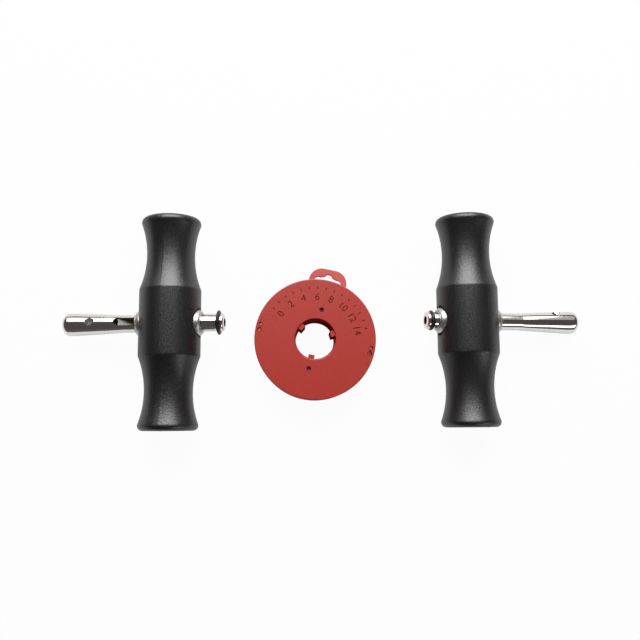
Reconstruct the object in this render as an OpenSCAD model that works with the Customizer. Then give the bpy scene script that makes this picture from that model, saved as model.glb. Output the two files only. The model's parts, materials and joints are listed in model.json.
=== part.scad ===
// A wire clay cutter: two T handles with sliding, turning wire shafts, and a spool of steel wire.
// Everything lies on the table at z = 0. Each handle is drawn about its own middle, with the
// shaft along +X towards its free end and the grip along Y, and is then laid in its place.

/* [Layout] */
// Distance between the axes of the two grips
handle_spacing = 184.4; // [150:0.2:220]
// Tilt of the left shaft, free end down, in degrees
left_roll = 6.7; // [0:0.1:8]
// Turn of the left handle on the table, in degrees
left_turn = -0.4; // [-2:0.1:2]
// Turn of the right handle on the table, in degrees
right_turn = -0.1; // [-2:0.1:2]
// Turn of the left shaft about its own axis, from slot up, in degrees
left_spin = 11; // [-180:1:180]
// Turn of the right shaft about its own axis, from slot up, in degrees
right_spin = 127; // [-180:1:180]
// Spool centre, sideways from the middle between the grips
spool_offset_x = -2.9; // [-8:0.1:8]
// Spool centre, along the grips from the shafts
spool_offset_y = -10.5; // [-20:0.1:10]
// Turn of the spool on the table, in degrees
spool_turn = -12.9; // [-45:0.1:45]

/* [Grip] */
// Length of the grip
grip_len = 131; // [120:1:140]
// Diameter of the straight barrel that carries the shaft
barrel_d = 37.8; // [36:0.2:42]
// Diameter at the two waists
waist_d = 29.4; // [26:0.2:31]
// Distance from the middle of the grip to each waist
waist_at = 42; // [40:0.5:44]
// Radius of the hollow sweep through each waist
waist_sweep_r = 57.2; // [54:0.2:62]
// Edge radius between the barrel and the sweep
shoulder_r = 3; // [1:0.1:4]
// Edge radius of each end
end_r = 3.1; // [2:0.1:4.5]

/* [Sleeve and collars] */
// Outer diameter of the steel sleeve through the grip
sleeve_d = 18; // [17.6:0.1:19]
// Wall of the sleeve
sleeve_wall = 1.5; // [1.4:0.05:1.6]
// Distance from the grip axis to each end of the sleeve
sleeve_end = 14.5; // [13.5:0.1:15]
// Diameter of the visible collars
collar_d = 16.4; // [15.8:0.1:16.8]
// Distance from the grip axis to the face of the front collar
front_face_at = 20.5; // [19.8:0.1:21.6]
// Distance from the grip axis to the face of the rear collar
rear_face_at = 20.4; // [19.8:0.1:21.6]
// Radial drop of the domed collar edge
dome_drop = 1.8; // [1:0.1:2]
// Length of the domed collar edge
dome_len = 3.5; // [2:0.1:4]
// Bevel at the mouth of each collar
mouth_bevel = 0.9; // [0.3:0.1:1]
// Thickness of the rubber rings around the collars
seat_t = 2.1; // [1.5:0.1:2.3]

/* [Shaft] */
// Diameter of the straight shaft
shaft_d = 10.7; // [10.2:0.1:11]
// Diameter of the flared free end
tip_d = 14; // [13:0.1:14.6]
// Length of the shaft in front of the grip axis, pushed in
tip_at = 66.8; // [65:0.2:72]
// Edge radius of the free end
tip_r = 4; // [2:0.1:5]
// Where the flare starts, from the grip axis
flare_from = 28.5; // [27:0.5:32]
// Where the flare gets slighter, from the grip axis
flare_knee_at = 38.3; // [36:0.1:42]
// Diameter where the flare gets slighter
flare_knee_d = 12; // [11.4:0.1:12.4]
// Where the flare reaches its full diameter
flare_to = 59; // [56:0.5:61]
// Length of the shaft behind the grip axis, up to the rubber ring
neck_at = 29.6; // [28.6:0.2:31]
// How far the shaft slides out
travel = 6.5; // [3:0.1:7]
// Diameter of the wire hole across the flared end
wire_hole_d = 4.8; // [3:0.1:5.4]
// Where the wire hole is, from the grip axis
wire_hole_at = 50.1; // [47:0.1:54]
// Lean of the wire hole, its mouth beside the slot nearer the grip, in degrees
wire_hole_lean = 9; // [0:1:12]
// Width of the wedge slot
slot_w = 4.7; // [4.2:0.1:5]
// Where the closed end of the slot is, from the grip axis
slot_to = 34.2; // [33:0.1:38]
// How far the deepest part of the slot goes below the shaft axis
slot_below = 3.2; // [2.6:0.1:3.6]
// How far the deepest part of the slot lies behind its closed end
slot_deep_back = 14; // [13:0.1:15]
// How far the ridge at the closed end lies below the surface
ridge_below = 1.2; // [0.8:0.1:2]
// Length of the deep pocket between the ridge and the closed end
pocket_len = 2.8; // [2.4:0.1:3.4]
// Where the floor of the slot comes up to the surface inside the sleeve
slot_from = 8; // [7.5:0.1:10]

/* [Guide] */
// Length of the guide ring inside the sleeve
guide_len = 4; // [3:0.1:5]
// Thickness of each retaining clip
clip_t = 1; // [0.8:0.1:1.2]
// Depth of the clip grooves in the shaft
groove_depth = 0.55; // [0.3:0.05:0.8]
// Outer diameter of the retaining clips
clip_d = 13.4; // [12.6:0.1:14]
// Opening of each clip
clip_gap = 5; // [3:0.5:6]
// Distance from the grip axis back to the rear stop
rear_stop_at = 8; // [7:0.1:9]
// Width of the key on the guide ring
key_w = 2; // [1.5:0.1:2.5]
// Depth of the keyway in the sleeve wall
keyway_depth = 0.75; // [0.5:0.05:0.9]

/* [Rear end] */
// Diameter of the seat under the rubber ring
ring_seat_d = 9.1; // [8.6:0.1:9.6]
// Width of the rubber ring
ring_w = 2.4; // [2:0.1:3.2]
// Radial height of the left rubber ring
left_ring_h = 3; // [1.4:0.1:3.2]
// Radial height of the right rubber ring
right_ring_h = 1.6; // [1.4:0.1:3.2]
// Diameter of the end screw's head
head_d = 11; // [10.4:0.1:11.6]
// Height of the end screw's head
head_h = 2.2; // [2:0.1:3.2]
// Edge radius of the end screw's head
head_r = 1.2; // [0.5:0.1:1.6]
// Diameter of the end screw's thread
thread_d = 6; // [5:0.5:6]
// Length of the end screw's thread
thread_len = 12; // [8:0.5:15]
// Size across the driving socket
socket_d = 4.9; // [4.2:0.1:5.4]
// Depth of the driving socket
socket_depth = 1.9; // [1.2:0.1:2.2]

/* [Spool] */
// Diameter of the front plate
front_d = 75; // [72:0.5:80]
// Thickness of the front plate
front_t = 3; // [2.4:0.1:3.6]
// How far the back plate's rim stays inside the front plate's
back_step = 0.2; // [0.1:0.1:3]
// Thickness of the back plate
back_t = 2.2; // [1.8:0.1:2.8]
// Height of the whole spool
spool_h = 20; // [18:0.5:22]
// Edge radius of the front plate
plate_edge_r = 0.5; // [0.2:0.1:0.8]
// Hole through the front plate
front_hole_d = 25.1; // [24.8:0.1:25.6]
// Hole through the hub and the back plate
hub_hole_d = 24.2; // [23.6:0.1:24.6]
// Wall of the hub tube
hub_wall = 1.9; // [1.6:0.1:2.2]
// Radial size of the lugs inside the hub
lug_depth = 2.2; // [1.5:0.1:2.6]
// Width of the lugs inside the hub
lug_w = 3.7; // [3:0.1:4.5]
// How far the lugs stop below the front face
lug_below = 0.8; // [0.4:0.1:1.2]
// How far the lugs stop above the table
lug_above = 1; // [0.5:0.1:1.5]
// Diameter of the wire end holes
small_hole_d = 2.4; // [1.6:0.1:2.8]
// Distance of the two inner holes from the outside of the hub
inner_hole_out = 4.6; // [3.5:0.1:7]
// Distance of the rim holes from the rim of the front plate
rim_hole_in = 2.2; // [1.9:0.1:3]
// Distance between the two holes of a rim pair
rim_hole_step = 3.9; // [3.4:0.1:4.6]
// Width of the hang tab
tab_w = 24.5; // [22:0.5:27]
// How far the hang tab stands out past the front plate
tab_out = 10.5; // [10:0.1:13]
// Corner radius of the hang tab
tab_r = 8.5; // [6:0.5:9]
// Length of the hang slot
hang_slot_w = 17.4; // [15:0.2:18]
// How far the near edge of the hang slot lies under the front plate
hang_slot_under = 0.3; // [0.1:0.1:0.7]
// Height of the hang slot at its sides
hang_slot_h = 4.7; // [4.4:0.1:5]
// Height of the notch in the middle of the hang slot
notch_h = 2.5; // [1.5:0.1:2.8]

/* [Scale marks] */
// Number of marks in the front plate
mark_count = 15; // [5:1:21]
// Angle of the first mark, about the spool axis
mark_first = 24; // [15:1:30]
// Angle of the last mark, about the spool axis
mark_last = 156; // [150:1:165]
// Distance of the marks from the rim of the front plate
mark_in = 5.5; // [5:0.1:8]
// Length of a mark
mark_len = 1.6; // [1:0.1:2]
// Width of a mark
mark_w = 0.6; // [0.4:0.1:0.8]
// Depth of a mark
mark_depth = 0.3; // [0.2:0.05:0.4]

/* [Wire] */
// Diameter of the steel wire
wire_d = 0.75; // [0.6:0.05:0.75]
// Diameter of the wound wire under its outer layer
core_d = 46; // [42:0.5:50]
// Turns in the outer layer
wire_turns = 11; // [6:1:11]

/* [Fits] */
// Radial clearance of everything that slides or turns
run_gap = 0.05; // [0.02:0.01:0.08]
// End play of the guide ring between its clips
end_play = 0.05; // [0.03:0.01:0.1]
// Clearance left at each end of the travel
stop_gap = 0.1; // [0.05:0.01:0.2]
// Side clearance of the key in its keyway
key_gap = 0.1; // [0.05:0.01:0.15]
// Clearance of the wound wire from the plates
wire_gap = 0.3; // [0.2:0.05:0.5]
// Clearance of the lugs from the holes of the plates
lug_gap = 0.05; // [0.02:0.01:0.1]

/* [Hidden] */
$fn = 96;
eps = 0.01;
cut_past = 1;
shoulder_steps = 4;
sweep_steps = 16;
end_steps = 8;
tip_steps = 8;
dome_steps = 8;
oval_steps = 24;
lug_count = 3;
lug_first = 30;
lobe_count = 6;
wire_sides = 6;
wire_rings = 24;

barrel_r = barrel_d / 2;
waist_r = waist_d / 2;
half_len = grip_len / 2;
sleeve_r = sleeve_d / 2;
sleeve_bore_r = sleeve_r - sleeve_wall;
collar_r = collar_d / 2;
shaft_r = shaft_d / 2;
tip_radius = tip_d / 2;
collar_bore_r = shaft_r + run_gap;
guide_r = sleeve_bore_r - run_gap;
groove_r = shaft_r - groove_depth;
ring_seat_r = ring_seat_d / 2;
head_at = neck_at + ring_w;

// The clips and the guide ring lie in a row, from the rear stop forward.
rear_clip_at = -rear_stop_at + stop_gap;
guide_at = rear_clip_at + clip_t + end_play;
front_clip_at = guide_at + guide_len + end_play;
front_stop_at = front_clip_at + clip_t + travel + stop_gap;

// The sweep through the waist touches the shoulder and end radii.
sweep_mid = [waist_at, waist_r + waist_sweep_r];
shoulder_mid_r = barrel_r - shoulder_r;
shoulder_run = sqrt(pow(waist_sweep_r + shoulder_r, 2) - pow(sweep_mid[1] - shoulder_mid_r, 2));
shoulder_mid = [waist_at - shoulder_run, shoulder_mid_r];
end_mid_u = half_len - end_r;
end_drop = sqrt(pow(waist_sweep_r + end_r, 2) - pow(end_mid_u - waist_at, 2));
end_mid = [end_mid_u, sweep_mid[1] - end_drop];
shoulder_turn = asin(shoulder_run / (waist_sweep_r + shoulder_r));
end_turn = asin((end_mid_u - waist_at) / (waist_sweep_r + end_r));

// The right handle has rolled until the free end of its drawn out shaft rests on the table.
tip_mid_x = tip_at - tip_r;
tip_mid_r = tip_radius - tip_r;
out_mid_x = tip_mid_x + travel;
right_roll = asin((barrel_r - tip_r) / norm([out_mid_x, tip_mid_r])) - atan(tip_mid_r / out_mid_x);
left_reach = tip_mid_x * cos(left_roll) + tip_mid_r * sin(left_roll) + tip_r;
right_reach = out_mid_x * cos(right_roll) + tip_mid_r * sin(right_roll) + tip_r;
left_x = (left_reach - right_reach - handle_spacing) / 2;
right_x = left_x + handle_spacing;
spool_x = (left_x + right_x) / 2 + spool_offset_x;

front_r = front_d / 2;
back_r = front_r - back_step;
front_z = spool_h - front_t;
front_hole_r = front_hole_d / 2;
hub_hole_r = hub_hole_d / 2;
hub_r = hub_hole_r + hub_wall;
small_hole_r = small_hole_d / 2;
inner_hole_r = hub_r + inner_hole_out;
rim_hole_r = front_r - rim_hole_in;
rim_half_turn = asin(rim_hole_step / 2 / rim_hole_r);
tab_to = front_r + tab_out;
hang_slot_from = front_r - hang_slot_under;
mark_r = front_r - mark_in;

core_r = core_d / 2;
wire_r = wire_d / 2;
wound_low = back_t + wire_gap;
wound_high = front_z - wire_gap;
wire_pitch = (wound_high - wound_low - wire_d) / wire_turns;
// The straight stretches between the rings of the wire just touch the drum.
helix_r = core_r / cos(180 / wire_rings) + wire_r;

function arc(mid, r, from, to, steps) =
    [for (i = [0:steps]) let (a = from + (to - from) * i / steps) mid + r * [cos(a), sin(a)]];

function half_outline() = concat(
    arc(shoulder_mid, shoulder_r, 90, 90 - shoulder_turn, shoulder_steps),
    arc(sweep_mid, waist_sweep_r, 270 - shoulder_turn, 270 + end_turn, sweep_steps),
    arc(end_mid, end_r, 90 + end_turn, 0, end_steps));

function flipped(points) = [for (i = [len(points) - 1:-1:0]) [-points[i][0], points[i][1]]];

// Turns an outline of [place along, radius] points about the X axis.
module turned_x(points) {
    rotate([0, 90, 0])
        rotate_extrude()
            polygon([for (p = points) [p[1], p[0]]]);
}

module cylinder_x(from, to, r) {
    translate([from, 0, 0])
        rotate([0, 90, 0])
            cylinder(h = to - from, r = r);
}

module at_left() {
    translate([left_x, 0, barrel_r])
        rotate([0, left_roll, 180 + left_turn])
            children();
}

module at_right() {
    translate([right_x, 0, barrel_r])
        rotate([0, right_roll, right_turn])
            children();
}

module at_spool() {
    translate([spool_x, spool_offset_y, 0])
        rotate([0, 0, spool_turn])
            children();
}

// What moves with a shaft is drawn out and spun about the shaft's own axis.
module on_shaft(out, spin) {
    translate([out, 0, 0])
        rotate([spin, 0, 0])
            children();
}

module grip() {
    half = half_outline();
    outline = concat(flipped(half), half);
    color([0.09, 0.09, 0.1])
        difference() {
            rotate([-90, 0, 0])
                rotate_extrude()
                    polygon(concat([[0, -half_len]], [for (p = outline) [p[1], p[0]]], [[0, half_len]]));
            cylinder_x(-barrel_r - cut_past, barrel_r + cut_past, sleeve_r);
        }
}

module sleeve() {
    color([0.7, 0.7, 0.7])
        difference() {
            cylinder_x(-sleeve_end, sleeve_end, sleeve_r);
            cylinder_x(-sleeve_end - cut_past, sleeve_end + cut_past, sleeve_bore_r);
            translate([-rear_stop_at, -key_w / 2 - key_gap, -sleeve_bore_r - keyway_depth])
                cube([rear_stop_at + sleeve_end + cut_past, key_w + 2 * key_gap, sleeve_bore_r]);
        }
}

module collar(face_at, stop_at) {
    lip_r = collar_r - dome_drop;
    dome = [for (i = [0:dome_steps]) let (a = 90 * i / dome_steps)
        [face_at - dome_len + dome_len * sin(a), lip_r + dome_drop * cos(a)]];
    color([0.85, 0.85, 0.86])
        turned_x(concat(
            [[stop_at, collar_bore_r], [stop_at, sleeve_bore_r], [sleeve_end, sleeve_bore_r]],
            [[sleeve_end, collar_r]],
            dome,
            [[face_at, collar_bore_r + mouth_bevel], [face_at - mouth_bevel, collar_bore_r]]));
}

module front_collar() {
    collar(front_face_at, front_stop_at);
}

module rear_collar() {
    rotate([0, 0, 180])
        collar(rear_face_at, rear_stop_at);
}

module seat_rings() {
    color([0.04, 0.04, 0.04])
        for (side = [0, 180])
            rotate([0, 0, side])
                difference() {
                    cylinder_x(sleeve_end, sleeve_end + seat_t, sleeve_r);
                    cylinder_x(sleeve_end - cut_past, sleeve_end + seat_t + cut_past, collar_r);
                }
}

module guide_ring() {
    key_out = sleeve_bore_r + keyway_depth - key_gap;
    color([0.75, 0.6, 0.3])
        difference() {
            union() {
                cylinder_x(guide_at, guide_at + guide_len, guide_r);
                translate([guide_at, -key_w / 2, -key_out])
                    cube([guide_len, key_w, key_out - collar_bore_r - eps]);
            }
            cylinder_x(guide_at - cut_past, guide_at + guide_len + cut_past, collar_bore_r);
        }
}

module retaining_clips() {
    color([0.25, 0.25, 0.26])
        for (at = [rear_clip_at, front_clip_at])
            difference() {
                cylinder_x(at, at + clip_t, clip_d / 2);
                cylinder_x(at - cut_past, at + clip_t + cut_past, groove_r);
                translate([at - cut_past, -clip_gap / 2, 0])
                    cube([clip_t + 2 * cut_past, clip_gap, clip_d]);
            }
}

module shaft() {
    color([0.8, 0.8, 0.8])
        difference() {
            turned_shaft();
            translate([wire_hole_at, 0, 0])
                rotate([0, -wire_hole_lean, 0])
                    cylinder(h = 2 * tip_d, d = wire_hole_d, center = true);
            wedge_slot();
            cylinder_x(-head_at - cut_past, -head_at + thread_len, thread_d / 2);
        }
}

// The seam of the turned solid lies at its side, clear of the hole and the slot.
module turned_shaft() {
    tip_round = arc([tip_mid_x, tip_mid_r], tip_r, 90, 0, tip_steps);
    rotate([90, 0, 0])
        turned_x(concat(
            [[-head_at, 0], [-head_at, ring_seat_r], [-neck_at, ring_seat_r], [-neck_at, shaft_r]],
            [[rear_clip_at, shaft_r], [rear_clip_at, groove_r]],
            [[rear_clip_at + clip_t, groove_r], [rear_clip_at + clip_t, shaft_r]],
            [[front_clip_at, shaft_r], [front_clip_at, groove_r]],
            [[front_clip_at + clip_t, groove_r], [front_clip_at + clip_t, shaft_r]],
            [[flare_from, shaft_r], [flare_knee_at, flare_knee_d / 2], [flare_to, tip_radius]],
            tip_round,
            [[tip_at, 0]]));
}

// The floor runs up to the surface inside the sleeve, so a doubled wire is pinched there as the
// shaft is drawn out. At the closed end a deep pocket lies behind a low ridge.
module wedge_slot() {
    slot_mid = slot_to - slot_w / 2;
    ridge_at = slot_to - pocket_len;
    intersection() {
        translate([0, 0, -slot_below - cut_past])
            linear_extrude(height = tip_d)
                union() {
                    translate([slot_mid, 0])
                        circle(d = slot_w);
                    translate([slot_from - cut_past, -slot_w / 2])
                        square([slot_mid - slot_from + cut_past, slot_w]);
                }
        rotate([90, 0, 0])
            linear_extrude(height = 2 * slot_w, center = true)
                polygon([
                    [slot_from, shaft_r],
                    [slot_to - slot_deep_back, -slot_below],
                    [ridge_at, shaft_r - ridge_below],
                    [ridge_at, -slot_below],
                    [slot_to + cut_past, -slot_below],
                    [slot_to + cut_past, tip_d],
                    [slot_from, tip_d]
                ]);
    }
}

module o_ring(ring_h) {
    mid_r = ring_seat_r + ring_h / 2;
    color([0.05, 0.05, 0.05])
        turned_x([for (i = [0:oval_steps - 1]) let (a = 360 * i / oval_steps)
            [-neck_at - ring_w / 2 + ring_w / 2 * cos(a), mid_r + ring_h / 2 * sin(a)]]);
}

module end_screw() {
    head_end = -head_at - head_h;
    lobe_r = socket_d / 9;
    head_round = arc([head_end + head_r, head_d / 2 - head_r], head_r, 180, 90, dome_steps);
    color([0.8, 0.8, 0.82])
        difference() {
            turned_x(concat(
                [[head_end, 0]],
                head_round,
                [[-head_at, head_d / 2], [-head_at, thread_d / 2]],
                [[-head_at + thread_len, thread_d / 2], [-head_at + thread_len, 0]]));
            cylinder_x(head_end - cut_past, head_end + socket_depth, socket_d / 2 - lobe_r);
            for (i = [0:lobe_count - 1])
                rotate([360 * i / lobe_count, 0, 0])
                    translate([0, 0, socket_d / 2 - lobe_r])
                        cylinder_x(head_end - cut_past, head_end + socket_depth, lobe_r);
        }
}

module spool_front_plate() {
    mark_step = (mark_last - mark_first) / (mark_count - 1);
    color([0.72, 0.24, 0.2])
        difference() {
            translate([0, 0, front_z])
                rotate_extrude()
                    polygon(concat(
                        [[front_hole_r, 0], [front_r, 0]],
                        [[front_r, front_t - plate_edge_r], [front_r - plate_edge_r, front_t]],
                        [[front_hole_r + plate_edge_r, front_t]],
                        [[front_hole_r, front_t - plate_edge_r]]));
            for (a = [90, 270])
                rotate([0, 0, a])
                    small_hole(inner_hole_r);
            for (a = [0, 180])
                for (side = [-1, 1])
                    rotate([0, 0, a + side * rim_half_turn])
                        small_hole(rim_hole_r);
            for (i = [0:mark_count - 1])
                rotate([0, 0, mark_first + mark_step * i])
                    translate([mark_r - mark_len / 2, -mark_w / 2, spool_h - mark_depth])
                        cube([mark_len, mark_w, mark_depth + cut_past]);
        }
}

module small_hole(r) {
    translate([r, 0, front_z - cut_past])
        cylinder(h = front_t + 2 * cut_past, r = small_hole_r, $fn = 24);
}

module spool_hub() {
    lug_in = hub_hole_r - lug_depth;
    lug_top = spool_h - lug_below;
    color([0.66, 0.2, 0.17]) {
        difference() {
            translate([0, 0, back_t])
                cylinder(h = front_z - back_t, r = hub_r);
            translate([0, 0, back_t - cut_past])
                cylinder(h = spool_h, r = hub_hole_r);
        }
        for (i = [0:lug_count - 1])
            rotate([0, 0, lug_first + 360 * i / lug_count])
                intersection() {
                    translate([lug_in, -lug_w / 2, lug_above])
                        cube([lug_depth + hub_wall, lug_w, lug_top - lug_above]);
                    union() {
                        cylinder(h = back_t, r = hub_hole_r - lug_gap);
                        translate([0, 0, back_t])
                            cylinder(h = front_z - back_t, r = hub_hole_r + hub_wall / 2);
                        translate([0, 0, front_z])
                            cylinder(h = front_t, r = front_hole_r - lug_gap);
                    }
                }
    }
}

// The hang tab is part of the back plate, with a notched slot through it.
module spool_back_plate() {
    color([0.76, 0.3, 0.27])
        linear_extrude(height = back_t)
            difference() {
                union() {
                    circle(r = back_r);
                    tab_outline();
                }
                circle(r = hub_hole_r);
                hang_slot_outline();
            }
}

module tab_outline() {
    translate([-tab_w / 2, 0])
        square([tab_w, tab_to - tab_r]);
    for (side = [-1, 1])
        translate([side * (tab_w / 2 - tab_r), tab_to - tab_r])
            circle(r = tab_r);
    translate([tab_r - tab_w / 2, 0])
        square([tab_w - 2 * tab_r, tab_to]);
}

module hang_slot_outline() {
    end_round = hang_slot_h / 2;
    translate([end_round - hang_slot_w / 2, hang_slot_from])
        square([hang_slot_w - 2 * end_round, hang_slot_h]);
    for (side = [-1, 1])
        translate([side * (hang_slot_w / 2 - end_round), hang_slot_from + end_round])
            circle(r = end_round);
    translate([0, hang_slot_from + hang_slot_h])
        polygon([
            [-2 * notch_h, 0],
            [-notch_h, notch_h / 3],
            [-notch_h / 2, notch_h],
            [notch_h / 2, notch_h],
            [notch_h, notch_h / 3],
            [2 * notch_h, 0],
            [2 * notch_h, -end_round],
            [-2 * notch_h, -end_round]
        ]);
}

module wire_core() {
    color([0.62, 0.62, 0.63])
        difference() {
            translate([0, 0, wound_low])
                cylinder(h = wound_high - wound_low, r = core_r);
            translate([0, 0, wound_low - cut_past])
                cylinder(h = spool_h, r = hub_r);
        }
}

// The outer layer is one unbroken wire that climbs the drum.
function helix(i) =
    let (a = 360 * i / wire_rings)
    [helix_r * cos(a), helix_r * sin(a), wound_low + wire_r + wire_pitch * i / wire_rings];

function wire_ring(i) =
    let (mid = helix(i), a = 360 * i / wire_rings, out = [cos(a), sin(a), 0])
    [for (s = [0:wire_sides - 1]) let (b = 360 * s / wire_sides)
        mid + wire_r * (cos(b) * out + [0, 0, sin(b)])];

module wire_outer_layer() {
    last = wire_turns * wire_rings;
    points = [for (i = [0:last]) for (p = wire_ring(i)) p];
    sides = [for (i = [0:last - 1]) for (s = [0:wire_sides - 1])
        let (n = (s + 1) % wire_sides, a = i * wire_sides, b = a + wire_sides)
        each [[a + s, b + s, b + n], [a + s, b + n, a + n]]];
    near_end = [for (s = [1:wire_sides - 2]) [0, s, s + 1]];
    far = last * wire_sides;
    far_end = [for (s = [1:wire_sides - 2]) [far, far + s + 1, far + s]];
    color([0.8, 0.8, 0.8])
        polyhedron(points = points, faces = concat(sides, near_end, far_end));
}

// The least gap between one turn and the next, measured on the route's own points.
turn_gap = min([for (i = [0:(wire_turns - 1) * wire_rings]) for (j = [-4:4])
    let (k = i + wire_rings + j) if (k <= wire_turns * wire_rings) norm(helix(k) - helix(i)) - wire_d]);
echo(least_gap_between_turns = turn_gap);

at_spool() spool_front_plate();
at_spool() spool_hub();
at_spool() spool_back_plate();
at_spool() wire_core();
at_spool() wire_outer_layer();
at_left() grip();  // left_grip
at_left() sleeve();  // left_sleeve
at_left() front_collar();  // left_front_collar
at_left() rear_collar();  // left_rear_collar
at_left() seat_rings();  // left_seat_rings
at_left() guide_ring();  // left_guide_ring
at_left() on_shaft(0, left_spin) retaining_clips();  // left_retaining_clips
at_left() on_shaft(0, left_spin) shaft();  // left_shaft
at_left() on_shaft(0, left_spin) o_ring(left_ring_h);  // left_o_ring
at_left() on_shaft(0, left_spin) end_screw();  // left_end_screw
at_right() grip();  // right_grip
at_right() sleeve();  // right_sleeve
at_right() front_collar();  // right_front_collar
at_right() rear_collar();  // right_rear_collar
at_right() seat_rings();  // right_seat_rings
at_right() translate([travel, 0, 0]) guide_ring();  // right_guide_ring
at_right() on_shaft(travel, right_spin) retaining_clips();  // right_retaining_clips
at_right() on_shaft(travel, right_spin) shaft();  // right_shaft
at_right() on_shaft(travel, right_spin) o_ring(right_ring_h);  // right_o_ring
at_right() on_shaft(travel, right_spin) end_screw();  // right_end_screw
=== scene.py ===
import json
import math

import bpy
from mathutils import Matrix, Vector


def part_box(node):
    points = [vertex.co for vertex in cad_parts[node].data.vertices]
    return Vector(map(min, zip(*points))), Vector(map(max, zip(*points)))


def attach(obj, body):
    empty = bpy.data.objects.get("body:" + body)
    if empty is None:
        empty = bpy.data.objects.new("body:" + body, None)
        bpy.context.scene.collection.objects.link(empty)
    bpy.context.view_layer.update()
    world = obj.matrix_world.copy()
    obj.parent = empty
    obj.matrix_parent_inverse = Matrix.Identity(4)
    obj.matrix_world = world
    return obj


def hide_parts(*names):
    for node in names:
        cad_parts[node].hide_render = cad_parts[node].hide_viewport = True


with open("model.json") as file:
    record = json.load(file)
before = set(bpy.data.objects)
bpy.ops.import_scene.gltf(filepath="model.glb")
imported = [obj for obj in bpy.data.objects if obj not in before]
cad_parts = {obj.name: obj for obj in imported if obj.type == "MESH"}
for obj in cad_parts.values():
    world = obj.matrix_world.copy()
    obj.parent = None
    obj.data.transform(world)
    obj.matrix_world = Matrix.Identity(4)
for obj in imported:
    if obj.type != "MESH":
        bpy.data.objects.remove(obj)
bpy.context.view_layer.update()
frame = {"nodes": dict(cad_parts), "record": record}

nodes = frame["nodes"]
joints = {joint["name"]: joint for joint in frame["record"]["behaviour"]["joints"]}
sides = ("left", "right")
mm = 0.001

# The camera looks down on the table, from a little below and to the left of the middle.
camera = {
    "target": (-2.22 * mm, 3.84 * mm, 0.0),
    "toCamera": (-0.0325, -0.1297, 0.991),
    "distance": 500 * mm,
    "roll": -0.0118,
    "lens": 43.69,
    "sensor": 36.0,
    "clip": (0.01, 20),
}


def hexToLinear(code):
    def channel(pair):
        value = int(pair, 16) / 255
        return value / 12.92 if value <= 0.04045 else ((value + 0.055) / 1.055) ** 2.4
    code = code.lstrip("#")
    return tuple(channel(code[i:i + 2]) for i in (0, 2, 4)) + (1.0,)


def addNode(tree, kind, settings=None, inputs=None):
    node = tree.nodes.new(kind)
    for name, value in (settings or {}).items():
        setattr(node, name, value)
    for name, value in (inputs or {}).items():
        if isinstance(value, bpy.types.NodeSocket):
            tree.links.new(value, node.inputs[name])
        else:
            node.inputs[name].default_value = value
    return node


def newMaterial(name):
    material = bpy.data.materials.new(name)
    material.use_nodes = True
    material.node_tree.nodes.clear()
    return material, material.node_tree


def finishMaterial(tree, shader):
    addNode(tree, "ShaderNodeOutputMaterial", None, {"Surface": shader.outputs[0]})


def makeCamera():
    back = Vector(camera["toCamera"]).normalized()
    right = Vector((0, 1, 0)).cross(back).normalized()
    turn = Matrix((right, back.cross(right), back)).transposed()
    data = bpy.data.cameras.new("photoCamera")
    data.lens = camera["lens"]
    data.sensor_width = camera["sensor"]
    data.clip_start, data.clip_end = camera["clip"]
    eye = bpy.data.objects.new("photoCamera", data)
    bpy.context.scene.collection.objects.link(eye)
    eye.location = Vector(camera["target"]) + back * camera["distance"]
    eye.rotation_mode = "QUATERNION"
    eye.rotation_quaternion = (turn @ Matrix.Rotation(camera["roll"], 3, "Z")).to_quaternion()
    bpy.context.scene.camera = eye


makeCamera()
bpy.context.scene.view_settings.view_transform = "Standard"
print("camera ready")

# Handle frames: X runs along the shaft to its free end, Y along the grip, Z is up.


def handlePlace(side):
    turn = joints[side + "_shaft_turn"]
    along = Vector(turn["axis"]).normalized()
    across = Vector((0, 0, 1)).cross(along).normalized()
    axes = Matrix((along, across, along.cross(across))).transposed().to_4x4()
    return Matrix.Translation(Vector(turn["pos_m"])) @ axes


# A shaft lies pushed in on the left and drawn out on the right, each turned in its own way.
spin = {"left": 11, "right": 127}


def spindlePlace(side):
    drawnOut = -joints[side + "_shaft_slide"]["range_m"][0]
    turned = Matrix.Rotation(math.radians(spin[side]), 4, "X")
    return handlePlace(side) @ Matrix.Translation((drawnOut, 0, 0)) @ turned


def spoolPlace(turn):
    low, high = (Vector(corner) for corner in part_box("spool_front_plate"))
    middle = (low + high) / 2
    return Matrix.Translation((middle.x, middle.y, 0)) @ Matrix.Rotation(math.radians(turn), 4, "Z")


def selectOnly(thing):
    bpy.ops.object.select_all(action="DESELECT")
    thing.select_set(True)
    bpy.context.view_layer.objects.active = thing


def applyPlace(thing, place):
    thing.matrix_world = place
    selectOnly(thing)
    bpy.ops.object.transform_apply(location=True, rotation=True, scale=True)


def closeMesh(thing, gap=0.01 * mm):
    selectOnly(thing)
    bpy.ops.object.mode_set(mode="EDIT")
    bpy.ops.mesh.select_all(action="SELECT")
    bpy.ops.mesh.remove_doubles(threshold=gap)
    bpy.ops.mesh.normals_make_consistent(inside=False)
    bpy.ops.object.mode_set(mode="OBJECT")


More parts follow.
